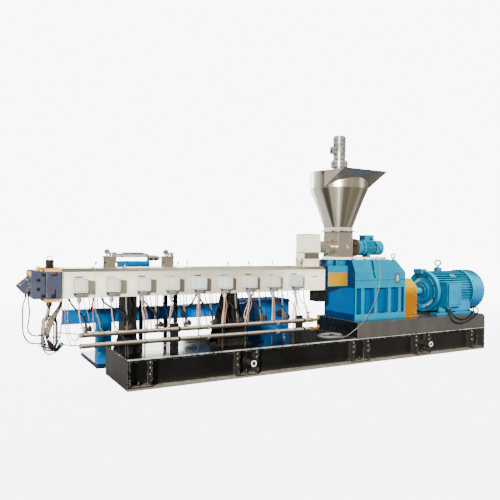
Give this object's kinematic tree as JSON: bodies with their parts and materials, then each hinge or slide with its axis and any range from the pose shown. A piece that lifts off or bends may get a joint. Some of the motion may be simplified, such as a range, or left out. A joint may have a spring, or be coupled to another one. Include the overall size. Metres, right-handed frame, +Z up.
{
  "type": "twin-screw plastic extruder",
  "caption": "Twin-screw compounding extruder on a welded beam base: die head, covered barrel, side feeder with hopper, gearbox, guarded coupling and drive motor.",
  "frame": {"origin": "on the floor, at the centre of the base's underside, under the middle cross beam", "axes": "+X along the machine from the die head to the drive motor, -Y the operator's side with the terminal boxes, +Z up"},
  "size_m": [7.194, 2.34, 3.228],
  "materials": {
    "barrel_steel": "heat tinted tool steel",
    "base_paint": "dark grey machine paint, satin",
    "black_plastic": "black moulded plastic",
    "blue_paint": "vivid blue enamel",
    "box_grey": "pale grey-green enamel",
    "cable_black": "black rubber sheath",
    "cable_grey": "grey cable sheath",
    "cast_brown": "bare cast iron",
    "clear": "clear glass tube",
    "cover_steel": "brushed stainless sheet",
    "deck_paint": "black gloss paint",
    "die_slate": "slate blue heat resistant paint",
    "die_tan": "tan insulated plate",
    "drive_blue": "cyan blue machine enamel",
    "fitting_brass": "brass fitting",
    "guard_yellow": "yellow safety enamel",
    "hopper_steel": "polished stainless sheet",
    "knob_yellow": "yellow gloss plastic",
    "motor_blue": "blue machine enamel",
    "navy_paint": "navy paint",
    "pedestal_paint": "black satin paint",
    "plug_grey": "die cast aluminium",
    "tube_steel": "stainless tube"
  },
  "bodies": {
    "root": {"back_beam": "base_paint", "ball_knob": "knob_yellow", "barrel": "barrel_steel", "coupling_guard": "guard_yellow", "cross_beams": "base_paint", "deck_plate": "deck_paint", "die_adaptor": "die_slate", "die_body": "die_slate", "die_hank": "cable_grey", "die_head": "die_slate", "die_leads": "cable_grey", "die_plates": "die_tan", "die_plug": "black_plastic", "discharge_pedestal": "pedestal_paint", "drive_plinth": "base_paint", "end_plates": "base_paint", "feed_port": "cover_steel", "feeder_base": "cover_steel", "feeder_bell": "cast_brown", "feeder_box": "hopper_steel", "feeder_cable": "cable_grey", "feeder_cable_coil": "cable_grey", "feeder_motor": "drive_blue", "feeder_tube": "hopper_steel", "front_beam": "base_paint", "gearbox_casing": "drive_blue", "hopper_lid": "hopper_steel", "hopper_shell": "hopper_steel", "lifting_eyes": "pedestal_paint", "lifting_trunnions": "base_paint", "loading_chute": "hopper_steel", "middle_pedestal": "pedestal_paint", "motor_cable": "cable_black", "motor_cowl": "motor_blue", "motor_end_bell": "motor_blue", "motor_frame": "motor_blue", "motor_terminal_box": "motor_blue", "output_housing": "drive_blue", "plug_hoods": "plug_grey", "rear_bracket": "pedestal_paint", "sensor_box": "black_plastic", "sight_gauge": "clear", "stirrer_motor": "cover_steel", "tank_caps": "tube_steel", "tank_saddle": "blue_paint", "terminal_boxes": "box_grey", "tube_fittings": "fitting_brass", "tube_posts": "pedestal_paint", "vacuum_table": "navy_paint", "vacuum_tank": "clear", "vent_gauges": "black_plastic", "vent_ports": "cover_steel", "water_beam": "blue_paint", "water_cabinet": "blue_paint", "water_foot": "navy_paint", "water_post": "blue_paint", "water_tubes": "tube_steel", "zone_covers": "cover_steel", "zone_leads": "cable_grey"}
  },
  "joints": []
}
